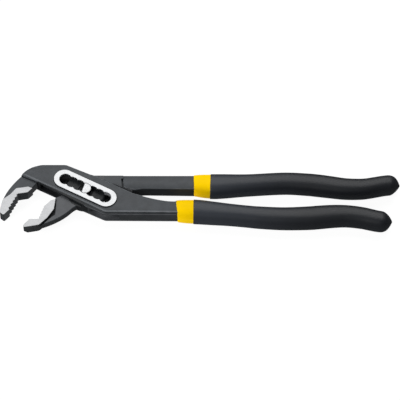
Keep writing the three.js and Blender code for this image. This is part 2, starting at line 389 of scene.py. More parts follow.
@dataclass(frozen=True)
class FloorFinish:
    """A pale studio floor with a faint grain."""

    name: str = "pale_floor"
    colour: Colour = (0.12, 0.12, 0.12)
    clouds_per_metre: float = 30.0
    mottle: float = 0.01
    glow: float = 0.93

    def material(self) -> bpy.types.Material:
        """Makes the material.

        Returns:
            The material.
        """
        bench = Bench(self.name)
        tone = bench.noise(bench.place(), self.clouds_per_metre, detail=3.0)
        dark = rgba(self.colour, 1.0 - self.mottle)
        light = rgba(self.colour, 1.0 + self.mottle)
        return bench.finish(
            Base_Color=bench.mix(tone, dark, light),
            Roughness=0.9,
            Specular_IOR_Level=0.1,
            Emission_Color=(1.0, 1.0, 1.0, 1.0),
            Emission_Strength=self.glow,
        )


class Steel(Enum):
    """The levers' steel, in the order of their material slots: the forged face, the ground faces and rim,
    and lighter and darker copies of the forged steel that are painted light and painted shade.
    """

    FACE = ForgedFinish("forged_face", (0.036, 0.041, 0.047))
    # Worn edges, lightened further as a painted highlight along the edges.
    EDGE = ForgedFinish("worn_edge_and_painted_highlight", (0.092, 0.100, 0.110), roughness=0.5)
    # A lighter copy of the forged steel, painted light: web faces, throat-facing walls, the head's bead and
    # the channel by the heel.
    NECK = ForgedFinish("painted_light_steel", (0.070, 0.074, 0.081))
    # A darker copy of the forged steel, painted shade: chamfers and bands under edges, the hub and the
    # slot's notches.
    BAND = ForgedFinish("painted_shade_band", (0.013, 0.015, 0.017), specular=0.3)
    # A darker copy for side walls, painted shade.
    FLANK = ForgedFinish("painted_shade_flank", (0.028, 0.031, 0.034), specular=0.2, roughness=0.6)
    # A much lighter copy, painted light: the slot's last notch and the stop walls in the shade of the head.
    NOTCH = ForgedFinish("painted_strong_light", (0.200, 0.205, 0.215), specular=0.4, roughness=0.45)
    # The darkest copy, painted deep shade: walls, gaps, grooves, the valley and the pin's side.
    WALL = ForgedFinish("painted_deep_shade", (0.012, 0.013, 0.015), specular=0.15, roughness=0.6)
    GROUND = GroundFinish("ground_face", (0.47, 0.475, 0.485), line_angle=math.radians(35))
    RIM = GroundFinish("ground_rim", (0.66, 0.67, 0.68), line_angle=math.radians(28.5))

    @property
    def index(self) -> int:
        """Its place among the finishes."""
        return list(Steel).index(self)


class Dip(Enum):
    """The finishes of a grip's two coats."""

    FIRST = DipFinish("yellow_dip", (0.97, 0.62, 0.0), specular=0.03)
    # The black coat is painted lighter towards the collar, as painted light.
    SECOND = DipFinish("black_dip", (0.0080, 0.0095, 0.0125), specular=0.36, painted_collar_light=1.9)


def corner(x: float, y: float, radius: float = 0.0) -> Vector:
    """Gives an outline's corner, with its rounding as the third number."""
    return Vector((x, y, radius))


def oblong(start: float, end: float, side: float) -> list[tuple[float, float]]:
    """Gives a rectangle's corners.

    Args:
        start: Where it starts along the first axis.
        end: Where it ends.
        side: Half its width along the second axis.

    Returns:
        The four corners.
    """
    return [(start, -side), (end, -side), (end, side), (start, side)]


def arc(centre: Vector, radius: float, start: float, end: float, steps: int) -> Outline:
    """Samples an arc.

    Args:
        centre: Its centre.
        radius: Its radius.
        start: First angle.
        end: Last angle.
        steps: Number of chords.

    Returns:
        Its points.
    """
    angles = [start + (end - start) * step / steps for step in range(steps + 1)]
    return [Vector((centre.x + radius * math.cos(a), centre.y + radius * math.sin(a))) for a in angles]


def bend(start: Vector, control: Vector, end: Vector, steps: int) -> Outline:
    """Samples a quadratic curve.

    Args:
        start: First point.
        control: The point that it bends towards.
        end: Last point.
        steps: Number of chords.

    Returns:
        Its points.
    """
    points = []
    for step in range(steps + 1):
        t = step / steps
        point = start.xy * (1 - t) ** 2 + control.xy * (2 * t * (1 - t)) + end.xy * t**2
        points.append(point)
    return points


@dataclass(frozen=True)
class Level:
    """One level of a slab's edge, with the finish of the band above it."""

    height: float
    inset: float
    finish: Steel = Steel.WALL


def bevelled(top: float, edge: float, chamfer: Steel, wall: Steel) -> list[Level]:
    """Draws a plain edge with a chamfer.

    Args:
        top: Height of the face.
        edge: The chamfer's height and width.
        chamfer: The chamfer's finish.
        wall: The wall's finish.

    Returns:
        The levels from the face down to the middle plane.
    """
    return [Level(top, edge), Level(top - edge, 0.0, chamfer), Level(0.0, 0.0, wall)]


def inset(outline: Outline, distance: float, far: float = 1.0) -> Outline:
    """Moves an outline inwards.

    Args:
        outline: A closed outline, drawn either way round.
        distance: How far each side moves; less than 0 moves it outwards.
        far: The share of that on sides that look towards the upper handle.

    Returns:
        The moved outline.
    """
    sharpest = 0.3
    after = outline[1:] + outline[:1]
    area = sum(here.x * then.y - then.x * here.y for here, then in zip(outline, after))
    way = math.copysign(distance, area)
    normals = []
    for here, then in zip(outline, after):
        normals.append(Vector((here.y - then.y, then.x - here.x)).normalized())
    moved = []
    for point, left, right in zip(outline, normals[-1:] + normals[:-1], normals):
        step = (left + right) * (way / max(sharpest, 1 + left.dot(right)))
        looks_up = step.y * distance < 0
        moved.append(point + step * (far if looks_up else 1.0))
    return moved


def rounded(corners: Sequence[Vector]) -> Outline:
    """Closes a row of corners into an outline, each rounded by its third number.

    Args:
        corners: Plain points, or corners with a radius.

    Returns:
        The outline's points.
    """
    outline: Outline = []
    most, chord_degrees = 0.48, 8
    for index, here in enumerate(corners):
        radius = here.z if len(here) == 3 else 0.0
        point = here.xy
        if radius <= 0:
            outline.append(point)
            continue
        back = corners[index - 1].xy - point
        ahead = corners[(index + 1) % len(corners)].xy - point
        half = back.angle(ahead) / 2
        reach = min(radius / math.tan(half), most * back.length, most * ahead.length)
        first = point + back.normalized() * reach
        last = point + ahead.normalized() * reach
        steps = max(2, round(math.degrees(math.pi - 2 * half) / chord_degrees))
        outline.extend(bend(first, point, last, steps))
    return outline


class Workshop:
    """Makes solids in millimetres and puts them into the frame."""

    def __init__(self, pin: Vector) -> None:
        """Sets the drawing's origin and makes the steel's materials, painted light and shade among them.

        Args:
            pin: The pin's axis in the frame, in metres.
        """
        self.pin = pin
        self.steels = [steel.value.material() for steel in Steel]

    def slab(
        self, outline: Outline, profile: Sequence[Level], lid: Steel, far: float = 1.0
    ) -> bpy.types.Mesh:
        """Makes a flat solid, alike on both sides, whose edge follows a profile.

        Args:
            outline: Its outline.
            profile: Levels from the upper face down to the middle plane.
            lid: Finish of both faces.
            far: The share of each inset on sides that look towards the upper handle.

        Returns:
            The solid's mesh.
        """
        upper = [(level.height, inset(outline, level.inset, far)) for level in profile]
        lower = [(-height, points) for height, points in upper if height > 0]
        bands = [level.finish for level in profile[1:]]
        middle = [bands[-1]] if profile[-1].height > 0 else []
        return self.stack([*upper, *reversed(lower)], [*bands, *middle, *reversed(bands)], lid)

    def block(self, outline: Outline, top: float, finish: Steel) -> bpy.types.Mesh:
        """Makes a flat solid with square edges.

        Args:
            outline: Its outline.
            top: Half its thickness.
            finish: Its finish all over.

        Returns:
            The solid's mesh.
        """
        return self.slab(outline, [Level(top, 0.0), Level(0.0, 0.0, finish)], finish)

    def pair(self, levels: Sequence[tuple[float, Outline]], finish: Steel) -> list[bpy.types.Mesh]:
        """Makes a solid between two outlines, and its mirror image below the middle plane.

        Args:
            levels: The two outlines with their heights.
            finish: The finish all over.

        Returns:
            Both meshes.
        """
        mirrored = [(-height, outline) for height, outline in levels]
        return [self.stack(each, [finish], finish) for each in (levels, mirrored)]

    def loft(self, rings: Sequence[Sequence[Vector]], bands: Sequence[Steel], lid: Steel) -> bpy.types.Mesh:
        """Skins a row of rings with as many points each and closes both ends.

        Args:
            rings: The rings in order.
            bands: Finish of the skin after each ring but the last.
            lid: Finish of both ends.

        Returns:
            The solid's mesh.
        """
        solid = bmesh.new()
        rows = [[solid.verts.new(point) for point in ring] for ring in rings]
        count = len(rows[0])
        for row, following, finish in zip(rows, rows[1:], bands):
            for index in range(count):
                after = (index + 1) % count
                face = solid.faces.new((row[index], row[after], following[after], following[index]))
                face.material_index = finish.index
        for row in (rows[0], rows[-1]):
            solid.faces.new(row).material_index = lid.index
        bmesh.ops.recalc_face_normals(solid, faces=solid.faces)
        return self._mesh(solid)

    def stack(
        self, levels: Sequence[tuple[float, Outline]], bands: Sequence[Steel], lid: Steel
    ) -> bpy.types.Mesh:
        """Skins outlines of as many points at given heights.

        Args:
            levels: Each outline with its height.
            bands: Finish of the skin after each level but the last.
            lid: Finish of both ends.

        Returns:
            The solid's mesh.
        """
        rings = [[Vector((p.x, p.y, z)) for p in outline] for z, outline in levels]
        return self.loft(rings, bands, lid)

    def _mesh(self, solid: bmesh.types.BMesh) -> bpy.types.Mesh:
        """Turns a bmesh into a mesh and frees it.

        Args:
            solid: The bmesh.

        Returns:
            The mesh, with all the steel's finishes.
        """
        mesh = bpy.data.meshes.new("solid")
        solid.to_mesh(mesh)
        solid.free()
        for finish in self.steels:
            mesh.materials.append(finish)
        return mesh

    def fuse(self, parts: Sequence[bpy.types.Mesh], cuts: Sequence[bpy.types.Mesh] = ()) -> bpy.types.Mesh:
        """Joins solids and cuts others out of them.

        Args:
            parts: What is joined.
            cuts: What is cut away.

        Returns:
            The one solid that is left.
        """
        scene = bpy.context.scene.collection.objects
        objects = [bpy.data.objects.new("work", mesh) for mesh in (*parts, *cuts)]
        for index, other in enumerate(objects):
            scene.link(other)
            if index == 0:
                continue
            step = objects[0].modifiers.new("step", "BOOLEAN")
            step.object = other
            step.operation = "UNION" if index < len(parts) else "DIFFERENCE"
            step.solver = "MANIFOLD"
        graph = bpy.context.evaluated_depsgraph_get()
        mesh = bpy.data.meshes.new_from_object(objects[0].evaluated_get(graph))
        for other in objects:
            data = other.data
            bpy.data.objects.remove(other)
            bpy.data.meshes.remove(data)
        return mesh

    def piece(self, name: str, mesh: bpy.types.Mesh, crease: float) -> bpy.types.Object:
        """Puts a finished solid into the frame as a piece.

        Args:
            name: The piece's name.
            mesh: Its solid, in millimetres, with its finishes.
            crease: Edges that bend more than this, in degrees, stay sharp.

        Returns:
            The piece.
        """
        mesh.name = name
        mesh.shade_smooth()
        mesh.set_sharp_from_angle(angle=math.radians(crease))
        mesh.transform(Matrix.Translation(self.pin) @ Matrix.Scale(MM, 4))
        piece = bpy.data.objects.new(name, mesh)
        bpy.context.scene.collection.objects.link(piece)
        LOG.info("%s: %d faces", name, len(mesh.polygons))
        return piece


def seat(piece: bpy.types.Object, body: Body, node: str, slot: Slot) -> bpy.types.Object:
    """Fixes a piece to its body in place of a solid of the frame.

    Args:
        piece: The piece.
        body: What it moves with.
        node: The solid that it stands for.
        slot: Not used.

    Returns:
        The piece.
    """
    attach(piece, body.value)
    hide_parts(node)
    return piece


@dataclass(frozen=True)
class Joint:
    """Sizes of the slotted joint that both levers and the pin share."""

    tilt: float = math.radians(28.5)
    notches: int = 7
    pitch: float = 4.75
    pin_radius: float = 3.6
    pin_flat: float = 1.3
    pin_turn: float = math.radians(12)
    pin_collar: float = 1.0
    fit: float = 0.25
    rim_width: float = 2.9
    rim_height: float = 0.8
    rim_end: float = 0.8
    cheek: float = 2.6
    web: float = 4.8
    side_fit: float = 0.3
    web_front: float = 13.0
    web_back: float = 12.6
    cheek_top: float = 11.3
    crotch_start: float = 27.3
    crotch_bend: tuple[float, float] = (49.0, -9.9)
    stop_fit: float = 0.35

    @property
    def half_travel(self) -> float:
        """From the middle notch to the last one."""
        return self.pitch * (self.notches - 1) / 2

    @property
    def channel(self) -> float:
        """Half the gap between the cheeks."""
        return self.web / 2 + self.side_fit

    @property
    def head_top(self) -> float:
        """Height of the head's face."""
        return self.channel + self.cheek

    @property
    def rim_top(self) -> float:
        """Height of the rim's face."""
        return self.head_top + self.rim_height

    @property
    def notch_radius(self) -> float:
        """Radius of one notch."""
        return self.pin_radius + self.fit

    def along(self, u: float, v: float) -> Vector:
        """Gives a point by its place along the slot and across it."""
        cos, sin = math.cos(self.tilt), math.sin(self.tilt)
        return Vector((u * cos + v * sin, v * cos - u * sin))

    def slot_outline(self, grow: float, steps: int = 10) -> Outline:
        """Draws the notched slot.

        Args:
            grow: How much wider than the true slot it is drawn.
            steps: Chords in each notch's arc.

        Returns:
            The outline.
        """
        radius = self.notch_radius + grow
        crest = math.acos(self.pitch / 2 / radius)
        centres = [self.along(index * self.pitch - self.half_travel, 0) for index in range(self.notches)]
        first, last = crest - self.tilt, math.pi - crest - self.tilt
        outline = arc(centres[-1], radius, crest - math.pi - self.tilt, last, 4 * steps)
        for centre in reversed(centres[1:-1]):
            outline += arc(centre, radius, first, last, steps)[1:]
        outline += arc(centres[0], radius, first, 2 * math.pi - crest - self.tilt, 4 * steps)[1:]
        start = math.pi + crest - self.tilt
        for centre in centres[1:-1]:
            outline += arc(centre, radius, start, start + math.pi - 2 * crest, steps)[1:]
        return outline[:-1]

    def rim_outline(self, steps: int = 36) -> Outline:
        """Draws the rim's outer edge.

        Args:
            steps: Chords in each round end.

        Returns:
            The outline.
        """
        radius = self.notch_radius + self.rim_width
        quarter = math.pi / 2
        half = self.half_travel + self.rim_end
        back, front = self.along(half, 0), self.along(-half, 0)
        outline = arc(back, radius, -quarter - self.tilt, quarter - self.tilt, steps)
        return outline + arc(front, radius, quarter - self.tilt, 3 * quarter - self.tilt, steps)

    def collar_outline(self, grow: float, steps: int = 72) -> Outline:
        """Draws the pin's round collar.

        Args:
            grow: How much wider than the true collar it is drawn.
            steps: Number of chords.

        Returns:
            The outline.
        """
        radius = self.pin_radius + self.pin_collar + grow
        return arc(Vector((0.0, 0.0)), radius, 0, 2 * math.pi, steps)[:-1]

    def crotch(self, end: Vector, steps: int = 20) -> Outline:
        """Draws the slotted lever's upper edge from the head to the lower grip.

        Args:
            end: The corner at the grip.
            steps: Number of chords.

        Returns:
            Its points from the head to the grip.
        """
        return bend(self.along(self.crotch_start, self.cheek_top), Vector(self.crotch_bend), end, steps)


@dataclass(frozen=True)
class GripLine:
    """A grip's middle line from its collar to its end, with its sections."""

    front: float
    reach: float
    # The share of the way from front to reach, the line's height and half the grip's width there.
    stations: tuple[tuple[float, float, float], ...]
    thickness: float = 13.2
    squareness: float = 2.6
    tip_length: float = 7.6
    tip_round: float = 2.4
    tip_point: float = 0.9
    points: list[Vector] = field(default_factory=list, init=False, compare=False)
    distances: list[float] = field(default_factory=list, init=False, compare=False)

    def __post_init__(self) -> None:
        """Samples the line and its length."""
        knots = [Vector((self.front + (self.reach - self.front) * s, y, a)) for s, y, a in self.stations]
        knots = [2 * knots[0] - knots[1], *knots, 2 * knots[-1] - knots[-2]]
        fine = 40
        for a, b, c, d in zip(knots, knots[1:], knots[2:], knots[3:]):
            for step in range(fine):
                self.points.append(self._spline(a, b, c, d, step / fine))
        self.points.append(knots[-2])
        self.distances.append(0.0)
        for here, after in zip(self.points, self.points[1:]):
            self.distances.append(self.distances[-1] + (after.xy - here.xy).length)

    @staticmethod
    def _spline(a: Vector, b: Vector, c: Vector, d: Vector, t: float) -> Vector:
        """Gives a point of the smooth curve between two of four knots.

        Args:
            a: The knot before them.
            b: The knot where the curve starts.
            c: The knot where it ends.
            d: The knot after them.
            t: How far along it is, from 0 to 1.

        Returns:
            The point.
        """
        line = 2 * b + (c - a) * t
        bow = (2 * a - 5 * b + 4 * c - d) * t**2
        sway = (3 * b - a - 3 * c + d) * t**3
        return 0.5 * (line + bow + sway)

    @property
    def length(self) -> float:
        """Length of the line."""
        return self.distances[-1]

    def at(self, distance: float) -> tuple[Vector, Vector]:
        """Finds a place on the line.

        Args:
            distance: From its front.

        Returns:
            The point, with half the width as its third number, and the direction.
        """
        index = 0
        while index < len(self.distances) - 2 and self.distances[index + 1] < distance:
            index += 1
        here, after = self.points[index], self.points[index + 1]
        share = (distance - self.distances[index]) / (self.distances[index + 1] - self.distances[index])
        run = (after.xy - here.xy).normalized()
        middle = here.lerp(after, min(max(share, 0.0), 1.0))
        over = min(distance, 0.0)
        return Vector((middle.x + run.x * over, middle.y + run.y * over, middle.z)), run

    def ring(self, distance: float, less: float, count: int = 72) -> list[Vector]:
        """Draws one section.

        Args:
            distance: From the line's front.
            less: What is taken off all round.
            count: Points round it.

        Returns:
            The section's points.
        """
        middle, run = self.at(distance)
        closing = max(0.0, (distance - self.length + self.tip_length) / self.tip_length)
        swell = max(0.0, 1 - closing**self.tip_round) ** self.tip_point
        half_width = (middle.z - less) * swell
        half_thickness = (self.thickness / 2 - less) * swell
        ring = []
        for index in range(count):
            turn = 2 * math.pi * (index + 0.5) / count
            across = half_width * self._squared(math.cos(turn))
            up = half_thickness * self._squared(math.sin(turn))
            ring.append(Vector((middle.x - run.y * across, middle.y + run.x * across, up)))
        return ring

    def _squared(self, value: float) -> float:
        """Squares up the sine or cosine of a section."""
        return math.copysign(abs(value) ** (2 / self.squareness), value)


@dataclass
class Handles:
    """Where the two grips run; the levers' tangs follow the same lines."""

    lower_front: float = 57.0
    lower_reach: float = 191.7
    lower_top: float = -9.1
    lower_bottom: float = -18.4
    lower_collar: float = -13.55
    upper_front: float = 67.3
    upper_reach: float = 197.5
    upper_top: float = 10.5
    upper_bottom: float = 0.5
    upper_sink: float = 0.35
    upper_collar: float = 5.6

    def lower(self) -> GripLine:
        """Draws the lower grip's line.

        Returns:
            The line.
        """
        stations = (
            (0, self.lower_collar, 7.3),
            (0.1, -14.05, 7.45),
            (0.17, -15.05, 7.05),
            (0.25, -16.22, 6.52),
            (0.33, -17.45, 6.4),
            (0.39, -18.28, 6.56),
            (0.5, -19.07, 6.74),
            (0.61, -18.65, 7.03),
            (0.67, -17.95, 7.03),
            (0.73, -17.3, 6.8),
            (0.79, -17.25, 6.5),
            (0.86, -18.5, 6.3),
            (0.94, -21.1, 6.05),
            (1, -21.5, 5.8),
        )
        return GripLine(self.lower_front, self.lower_reach, stations)

    def upper(self) -> GripLine:
        """Draws the upper grip's line.

        Returns:
            The line.
        """
        stations = (
            (0, self.upper_collar, 7.0),
            (0.09, 4.95, 7.65),
            (0.15, 5.12, 7.45),
            (0.27, 5.85, 6.55),
            (0.44, 7.13, 6.5),
            (0.55, 6.4, 6.6),
            (0.61, 5.5, 6.65),
            (0.67, 4.35, 6.5),
            (0.73, 3.2, 6.25),
            (0.79, 2.9, 6.05),
            (0.84, 3.35, 5.9),
            (0.92, 5.4, 5.75),
            (0.96, 5.85, 5.7),
            (1, 5.25, 5.6),
        )
        return GripLine(self.upper_front, self.upper_reach, stations)


@dataclass
class Jaws:
    """The two jaws' ground faces and what lies behind them."""

    thickness: float = 7.2
    upper_thickness: float = 8.0
    upper_drop: float = 0.26
    back_step: float = 0.6
    edge: float = 0.12
    upper_bite: float = 0.8
    upper_teeth: int = 4
    upper_crest: float = 0.8
    lower_bite: float = 0.5
    lower_teeth: int = 5
    lower_crest: float = 0.2
    lower_round: float = 2.6
    tip_inner: Vector = field(default_factory=lambda: corner(-47.1, -14.4))
    tip_outer: Vector = field(default_factory=lambda: corner(-50.5, -18.3))
    upper_first: Vector = field(default_factory=lambda: corner(-47.6, -13.0))
    upper_last: Vector = field(default_factory=lambda: corner(-43.0, -3.5))
    lower_back: Vector = field(default_factory=lambda: Vector((0.14, 0.0)))
    lower_reach: Vector = field(default_factory=lambda: Vector((-0.25, -0.45)))
    lower_first: Vector = field(default_factory=lambda: corner(-24.9, -11.4))
    lower_hollow: Vector = field(default_factory=lambda: corner(-28.4, -21.3))

    def toothed(self, start: Vector, end: Vector, count: int, bite: float, crest: float) -> Outline:
        """Draws saw teeth that stand out from an edge into the mouth.

        Args:
            start: One end of the edge, at a tooth's root.
            end: Its other end, at a root too.
            count: Number of teeth.
            bite: Their height.
            crest: Where a tooth is highest, as a share of its length.

        Returns:
            The points from start to end.
        """
        step = (end.xy - start.xy) / count
        out = Vector((step.y, -step.x)).normalized() * bite
        points = []
        for tooth in range(count):
            root = start.xy + step * tooth
            points += [root, root + step * crest + out]
        return points + [end.xy]

    def upper_face(self) -> Outline:
        """Draws the upper jaw's ground face.

        Returns:
            The outline.
        """
        teeth = self.toothed(
            self.upper_first, self.upper_last, self.upper_teeth, self.upper_bite, self.upper_crest
        )
        rest = [
            corner(-42.1, -2.6, 0.6),
            corner(-36.0, -1.5, 1.0),
            corner(-33.2, 1.6),
            corner(-35.8, 2.7, 0.8),
            corner(-43.5, 1.5, 2.0),
            corner(-46.5, -2.6, 4.0),
            corner(-51.5, -6.9, 1.0),
            corner(-53.3, -16.0, 2.0),
            corner(self.tip_outer.x, self.tip_outer.y, 1.0),
            self.tip_inner.xy,
        ]
        return [point - Vector((0.0, self.upper_drop)) for point in rounded([*teeth, *rest])]

    def upper_back(self, step_front: Vector) -> Outline:
        """Draws the forged back of the upper jaw.

        Args:
            step_front: The head's corner inside the jaw.

        Returns:
            The outline.
        """
        curve = bend(corner(-41.0, 10.2), corner(-49.0, 1.4), corner(-51.5, -7.2), 16)
        inside = [corner(-49.5, -11.0), corner(-44.5, -1.2), corner(-36.0, -0.8)]
        outline = rounded([corner(-34.0, 13.0), *curve, *inside])
        return [*(point - Vector((0.0, self.upper_drop)) for point in outline), step_front.xy]

    def lower_face(self, shut: Vector) -> Outline:
        """Draws the lower jaw's ground face.

        Args:
            shut: From the upper jaw's tip to the lower jaw's.

        Returns:
            The outline.
        """
        teeth = self.toothed(
            self.lower_first, self.lower_hollow, self.lower_teeth, self.lower_bite, self.lower_crest
        )
        shut = shut - self.lower_back
        outer = self.tip_outer.xy + shut + self.lower_reach
        tip = [self.tip_inner.xy + shut, corner(outer.x, outer.y, self.lower_round)]
        rest = [
            corner(-37.9, -27.4, 2.0),
            corner(-33.3, -26.6, 4.0),
            corner(-28.2, -25.6, 4.0),
            corner(-23.2, -20.3),
            corner(-19.3, -13.9, 3.0),
            corner(-18.5, -6.7),
            corner(-21.4, -7.6),
        ]
        return rounded([*teeth, *tip, *rest])


@dataclass
class Lever:
    """What the two levers have in common."""

    shop: Workshop
    joint: Joint
    jaws: Jaws
    spare: float = 6.0
    crease: float = 28.0
    tang_less: float = 2.8
    tang_lap: float = 3.0
    tang_short: float = 13.6
    hidden_end: float = 1.9

    def tang(self, line: GripLine) -> bpy.types.Mesh:
        """Makes the steel inside a grip.

        Args:
            line: The grip's line.

        Returns:
            The tang's solid.
        """
        lap, count, points = self.tang_lap, 30, 32
        end = line.length - self.tang_short
        distances = [-lap + (end + lap) * step / count for step in range(count + 1)]
        rings = [line.ring(distance, self.tang_less, points) for distance in distances]
        return self.shop.loft(rings, [Steel.FACE] * count, Steel.FACE)

    def squared_off(self, handle: bpy.types.Mesh, line: GripLine) -> bpy.types.Mesh:
        """Cuts a handle off just inside its grip's collar.

        Args:
            handle: The handle's solid, drawn too long.
            line: The grip's line.

        Returns:
            The shortened solid.
        """
        reach, side = 20.0, 40.0
        places = oblong(line.front + self.hidden_end, line.front + reach, side)
        waste = [Vector(place) for place in places]
        # The cut end takes the deep-shade paint.
        return self.shop.fuse([handle], [self.shop.block(waste, reach, Steel.WALL)])

    def jaw_slab(self, outline: Outline, thickness: float) -> bpy.types.Mesh:
        """Makes a jaw's ground face with its wall in painted shade.

        Args:
            outline: The face's outline.
            thickness: From one ground face to the other.

        Returns:
            The solid.
        """
        profile = bevelled(thickness / 2, self.jaws.edge, Steel.GROUND, Steel.FLANK)
        return self.shop.slab(outline, profile, Steel.GROUND)


@dataclass
class SlottedLever(Lever):
    """The lever with the notched slot, the upper jaw and the lower handle."""

    head_top: float = 18.2
    far_edge: float = 0.35
    face_rise: float = 0.5
    # The head's walls take the painted shade band before band_end along x, and the lighter wall shade past
    # heel.
    band_end: float = 1.0
    heel: float = 3.0
    shoulder_lift: float = 0.25
    shoulder_span: tuple[float, float] = (5.0, 36.0)
    # Places along x, and how far the face's lower edge lies above the outline there.
    lifts: tuple[tuple[float, float], ...] = (
        (-30.0, -0.8),
        (-2.0, 0.8),
        (12.4, 0.15),
        (20.0, 0.1),
        (40.0, 0.0),
    )
    # Drop below the rim's face, and inset there.
    rim_edge: tuple[tuple[float, float], ...] = ((0.0, 0.25), (0.1, 0.08), (0.25, 0.0))
    # Rise above the rim's face, and how much wider the slot is there.
    slot_mouth: tuple[tuple[float, float], ...] = ((0.3, 0.5), (0.0, 0.2), (-0.2, 0.0))
    back_edge: float = 0.2
    # Jaw walls whose normal points to the throat more than this are painted light.
    throat_facing: float = 0.45
    step_back: Vector = field(default_factory=lambda: Vector((-40.6, 10.4)))
    step_front: Vector = field(default_factory=lambda: Vector((-30.4, 5.8)))
    brink_depth: float = 1.2
    # Corners of the recess at the mouth, from step_front.
    brink: tuple[tuple[float, float], ...] = ((-0.1, -3.0), (4.0, -4.5), (4.0, -1.95), (-0.1, 0.4))

    def head_profile(self) -> list[Level]:
        """Draws the edge of the head: a worn line lightened further as a painted highlight, a chamfer in
        painted shade, a bead in painted light and a drafted wall in painted shade.

        Returns:
            The levels from the face down to the middle plane.
        """
        top = self.joint.head_top
        return [
            Level(top, 1.8),
            Level(top - 0.15, 0.8, Steel.EDGE),
            Level(top - 1.1, 0.1, Steel.BAND),
            Level(top - 1.9, 0.0, Steel.NECK),
            Level(top - 3.3, -0.2, Steel.BAND),
            Level(0.0, -0.2, Steel.FLANK),
        ]

    def head_outline(self, handles: Handles) -> Outline:
        """Draws the head with the lower handle, which is drawn too long.

        Args:
            handles: Where the handle meets its grip.

        Returns:
            The outline.
        """
        crotch = self.joint.crotch(Vector((handles.lower_front, handles.lower_top)))
        end = handles.lower_front + self.spare
        crown_bend = Vector((-36.6, self.head_top - 1.5))
        crown = bend(Vector((-27.7, self.head_top)), crown_bend, self.step_back, 14)
        return rounded([
            self.step_front,
            corner(-2.0, -10.75, 60.0),
            corner(12.4, -18.05, 6.0),
            Vector((end, handles.lower_bottom)),
            Vector((end, handles.lower_top)),
            *reversed(crotch),
            self.joint.along(6, self.joint.cheek_top),
            corner(-12.5, self.head_top, 5.0),
            *crown,
        ])

    def build(self, handles: Handles) -> bpy.types.Object:
        """Makes the lever.

        Args:
            handles: The grips' lines.

        Returns:
            The piece.
        """
        joint, jaws, shop = self.joint, self.jaws, self.shop
        grip = handles.lower()
        head = self.squared_off(self.head(handles), grip)
        levels = [Level(joint.rim_top - drop, less) for drop, less in self.rim_edge]
        # The rim's rounded edge and side keep the levels' default deep-shade paint, which paints the dark
        # line under the rim.
        rim = shop.slab(joint.rim_outline(), [*levels, Level(0.0, 0.0)], Steel.RIM)
        top = jaws.upper_thickness / 2 - jaws.back_step
        # The upper jaw's back has its walls in painted deep shade.
        profile = bevelled(top, self.back_edge, Steel.FACE, Steel.WALL)
        back = shop.slab(jaws.upper_back(self.step_front), profile, Steel.FACE)
        face = self.jaw_slab(jaws.upper_face(), jaws.upper_thickness)
        # Jaw walls that face the throat get the lighter copy, as painted light.
        for side in (*face.polygons, *back.polygons):
            wall = side.material_index in (Steel.FLANK.index, Steel.WALL.index)
            if wall and side.normal.x > self.throat_facing:
                side.material_index = Steel.NECK.index
        mesh = shop.fuse([head, rim, back, face, self.tang(grip)], [*self.channel(), self.slot()])
        piece = shop.piece("slotted_lever_forging", mesh, self.crease)
        return seat(piece, Body.SLOTTED, "slotted_lever", Slot.FORGED)

    def head(self, handles: Handles) -> bpy.types.Mesh:
        """Makes the head, with a chamfer by the jaw lightened as a painted highlight, a band under the slot
        in painted shade and a heel without that band.

        Args:
            handles: Where the handle meets its grip.

        Returns:
            The solid.
        """
        outline, chamfer_slope = self.head_outline(handles), 0.3
        head = self.shop.slab(outline, self.head_profile(), Steel.FACE, self.far_edge)
        for point in head.vertices:
            if abs(point.co.z) > self.joint.head_top - self.face_rise:
                point.co.y += self.straightening(point.co)
        # Before the jaw's step the chamfer is painted as a highlight and the wall in deep shade; under the
        # slot the walls take the painted shade band; past the heel the band takes the lighter wall shade.
        for side in head.polygons:
            wall = side.material_index in (Steel.BAND.index, Steel.NECK.index)
            if wall and side.center.x < self.step_front.x:
                chamfer = abs(side.normal.z) > chamfer_slope
                side.material_index = (Steel.EDGE if chamfer else Steel.WALL).index
            elif wall and side.center.x < self.band_end:
                side.material_index = Steel.BAND.index
            elif side.material_index == Steel.BAND.index and side.center.x > self.heel:
                side.material_index = Steel.FLANK.index
        return head

    def straightening(self, point: Vector) -> float:
        """Finds how far the face's edge lies above the outline's, on both long sides of the head.

        Args:
            point: A place on the edge.

        Returns:
            The lift.
        """
        clear = 1.0
        across = point.x * math.sin(self.joint.tilt) + point.y * math.cos(self.joint.tilt)
        if across > 0:
            start, end = self.shoulder_span
            return self.shoulder_lift if start < point.x < end else 0.0
        if point.x < self.step_front.x - clear:
            return 0.0
        for (start, low), (end, high) in zip(self.lifts, self.lifts[1:]):
            if point.x <= end:
                return low + (high - low) * max(0.0, point.x - start) / (end - start)
        return 0.0

    def channel(self) -> list[bpy.types.Mesh]:
        """Makes the gap between the cheeks, painted deep shade towards the mouth and painted light towards
        the heel, and the recess at its brink, painted deep shade.

        Returns:
            The solids to cut away.
        """
        joint, side, lap = self.joint, 60, 0.1
        front = -(joint.web_front + joint.half_travel + joint.stop_fit)
        rear = joint.web_back + joint.half_travel + joint.stop_fit
        gaps = []
        for start, end, finish in ((front, 0.0, Steel.WALL), (-lap, rear, Steel.NECK)):
            gap = [joint.along(*place) for place in oblong(start, end, side)]
            gaps.append(self.shop.block(gap, joint.channel, finish))
        brink = [self.step_front + Vector(place) for place in self.brink]
        gaps.append(self.shop.block(brink, joint.channel + self.brink_depth, Steel.WALL))
        return gaps

